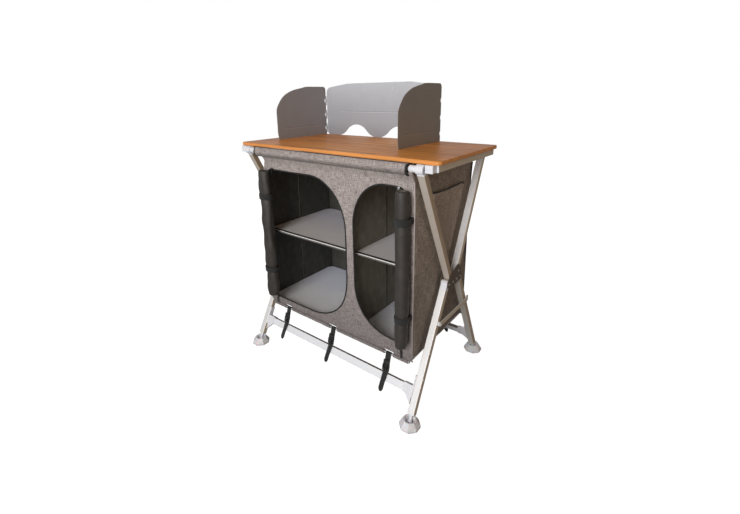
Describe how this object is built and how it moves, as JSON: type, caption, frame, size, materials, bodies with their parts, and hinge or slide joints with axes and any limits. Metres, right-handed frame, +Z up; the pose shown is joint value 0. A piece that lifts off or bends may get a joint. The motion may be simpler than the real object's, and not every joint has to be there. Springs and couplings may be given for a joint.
{
  "type": "camping_kitchen",
  "caption": "Folding camp kitchen: bamboo top on crossing aluminium legs, hung cloth cabinet with shelves and rolled-up doors, and a folding wind guard.",
  "frame": {"origin": "on the floor, below the middle of the table top", "axes": "+X to the right seen from the open front, +Y to the back, +Z up"},
  "size_m": [0.81, 0.525, 1.005],
  "materials": {
    "bamboo_top": "satin laminated bamboo, planks and grain along the long side",
    "frame_aluminium": "satin anodised extrusion",
    "bare_aluminium": "bright drawn tube",
    "dark_steel_plate": "dark brown-grey coated steel",
    "bright_steel": "zinc-plated rivets and screws",
    "white_plastic": "moulded nylon, slightly translucent",
    "foot_plastic": "translucent grey-white foot plastic",
    "guard_sheet": "coated sheet, light silver-grey inside and taupe-grey outside",
    "melange_cloth": "grey-brown melange cross weave",
    "dark_mesh": "charcoal coated cloth of the rolled doors",
    "webbing": "black polypropylene webbing",
    "buckle_plastic": "black moulded side-release buckle",
    "board": "light grey laminated board"
  },
  "bodies": {
    "rear_frame": {"rear_top_tube": "bare_aluminium", "rear_tees": "white_plastic", "upper_rear_legs": "frame_aluminium", "pivot_plates": "dark_steel_plate", "plate_rivets": "bright_steel", "bag_back_panel": "melange_cloth", "bag_back_sleeve": "melange_cloth", "bag_sides_back": "melange_cloth", "bag_wall_back": "melange_cloth", "bag_floor_back": "melange_cloth", "side_pockets_back": "melange_cloth", "rear_straps": "webbing", "rear_strap_buckles": "buckle_plastic"},
    "front_upper_frame": {"front_top_tube": "bare_aluminium", "front_tees": "white_plastic", "upper_front_legs": "frame_aluminium", "bag_front_panel": "melange_cloth", "bag_front_sleeve": "melange_cloth", "bag_sides_front": "melange_cloth", "bag_wall_front": "melange_cloth", "bag_floor_front": "melange_cloth", "side_pockets_front": "melange_cloth", "door_rolls": "dark_mesh", "roll_straps": "webbing", "zip_sliders": "bright_steel", "front_straps": "webbing", "front_strap_buckles": "buckle_plastic"},
    "front_lower_frame": {"lower_front_legs": "frame_aluminium", "front_knuckle_plugs": "white_plastic", "front_cross_bar": "frame_aluminium", "front_bar_brackets": "white_plastic", "front_bar_screws": "bright_steel", "front_foot_stems": "white_plastic", "brace_bushes": "white_plastic"},
    "rear_lower_frame": {"lower_rear_legs": "frame_aluminium", "rear_knuckle_plugs": "white_plastic", "rear_cross_bar": "frame_aluminium", "rear_bar_brackets": "white_plastic", "rear_bar_screws": "bright_steel", "rear_foot_stems": "white_plastic"},
    "brace_pair": {"side_braces": "frame_aluminium"},
    "pad_front_left": {"foot_pad_front_left": "foot_plastic"},
    "pad_front_right": {"foot_pad_front_right": "foot_plastic"},
    "pad_rear_left": {"foot_pad_rear_left": "foot_plastic"},
    "pad_rear_right": {"foot_pad_rear_right": "foot_plastic"},
    "shelves": {"shelf_boards": "board", "shelf_profiles": "bare_aluminium"},
    "cabinet_floor": {"floor_boards": "board"},
    "front_hem": {"front_hem_rod": "bare_aluminium"},
    "rear_hem": {"rear_hem_rod": "bare_aluminium"},
    "top": {"table_top": "bamboo_top", "side_rails": "frame_aluminium", "rail_end_caps": "white_plastic", "latch_blocks": "white_plastic"},
    "wind_guard": {"guard_back": "guard_sheet", "guard_hinge_pins": "bright_steel"},
    "wing_left": {"guard_wing_left": "guard_sheet"},
    "wing_right": {"guard_wing_right": "guard_sheet"}
  },
  "joints": [
    {"name": "frame_fold", "type": "hinge", "parent": "rear_frame", "child": "front_upper_frame", "pos_m": [0, -0.007, 0.388], "axis": [1, 0, 0], "range_deg": [-51, 0], "deforming": ["bag_front_panel", "bag_front_sleeve", "bag_sides_front", "bag_wall_front", "bag_floor_front", "side_pockets_front", "door_rolls", "roll_straps", "zip_sliders", "front_straps", "front_strap_buckles", "bag_back_panel", "bag_back_sleeve", "bag_sides_back", "bag_wall_back", "bag_floor_back", "side_pockets_back", "rear_straps", "rear_strap_buckles"]},
    {"name": "front_leg_fold", "type": "hinge", "parent": "rear_frame", "child": "front_lower_frame", "pos_m": [0, -0.0335, 0.388], "axis": [1, 0, 0], "range_deg": [-172, 0]},
    {"name": "rear_leg_fold", "type": "hinge", "parent": "rear_frame", "child": "rear_lower_frame", "pos_m": [0, 0.046, 0.388], "axis": [1, 0, 0], "range_deg": [0, 123]},
    {"name": "brace_swing", "type": "hinge", "parent": "front_lower_frame", "child": "brace_pair", "pos_m": [0, -0.09116, 0.27935], "axis": [1, 0, 0], "range_deg": [-116, 0]},
    {"name": "shelf_tip", "type": "hinge", "parent": "rear_frame", "child": "shelves", "pos_m": [0, 0.09673, 0.50013], "axis": [1, 0, 0], "range_deg": [-115, 0]},
    {"name": "floor_tip", "type": "hinge", "parent": "rear_frame", "child": "cabinet_floor", "pos_m": [0, 0.09488, 0.31161], "axis": [1, 0, 0], "range_deg": [-115, 0]},
    {"name": "front_hem_move", "type": "slide", "parent": "front_upper_frame", "child": "front_hem", "axis": [0, 0.895, 0.4461], "range_m": [0, 0.23027]},
    {"name": "rear_hem_move", "type": "slide", "parent": "rear_frame", "child": "rear_hem", "axis": [0, -0.9064, 0.4225], "range_m": [0, 0.21246]},
    {"name": "top_lift", "type": "slide", "parent": "rear_frame", "child": "top", "axis": [0, 0, 1], "range_m": [0, 0.4]},
    {"name": "guard_lift", "type": "slide", "parent": "top", "child": "wind_guard", "axis": [0, 0, 1], "range_m": [0, 0.12]},
    {"name": "wing_left_hinge", "type": "hinge", "parent": "wind_guard", "child": "wing_left", "pos_m": [-0.3418, 0.1908, 0.895], "axis": [0, 0, 1], "range_deg": [-90, 90]},
    {"name": "wing_right_hinge", "type": "hinge", "parent": "wind_guard", "child": "wing_right", "pos_m": [0.1948, 0.1908, 0.895], "axis": [0, 0, 1], "range_deg": [-90, 90]},
    {"name": "pad_front_left_tilt", "type": "hinge", "parent": "front_lower_frame", "child": "pad_front_left", "pos_m": [-0.353, -0.232, 0.014], "axis": [1, 0, 0], "range_deg": [-10, 10]},
    {"name": "pad_front_right_tilt", "type": "hinge", "parent": "front_lower_frame", "child": "pad_front_right", "pos_m": [0.353, -0.232, 0.014], "axis": [1, 0, 0], "range_deg": [-10, 10]},
    {"name": "pad_rear_left_tilt", "type": "hinge", "parent": "rear_lower_frame", "child": "pad_rear_left", "pos_m": [-0.353, 0.232, 0.014], "axis": [1, 0, 0], "range_deg": [-10, 10]},
    {"name": "pad_rear_right_tilt", "type": "hinge", "parent": "rear_lower_frame", "child": "pad_rear_right", "pos_m": [0.353, 0.232, 0.014], "axis": [1, 0, 0], "range_deg": [-10, 10]}
  ],
  "couplings": [
    {"joint": "front_leg_fold", "follows": "frame_fold", "ratio": 3.3725},
    {"joint": "rear_leg_fold", "follows": "frame_fold", "ratio": -2.4118},
    {"joint": "brace_swing", "follows": "frame_fold", "ratio": 2.2745},
    {"joint": "shelf_tip", "follows": "frame_fold", "ratio": 2.2549},
    {"joint": "floor_tip", "follows": "frame_fold", "ratio": 2.2549},
    {"joint": "front_hem_move", "follows": "frame_fold", "m_per_rad": -0.25869},
    {"joint": "rear_hem_move", "follows": "frame_fold", "m_per_rad": -0.23868},
    {"joint": "top_lift", "follows": "frame_fold", "m_per_rad": -0.44937}
  ]
}
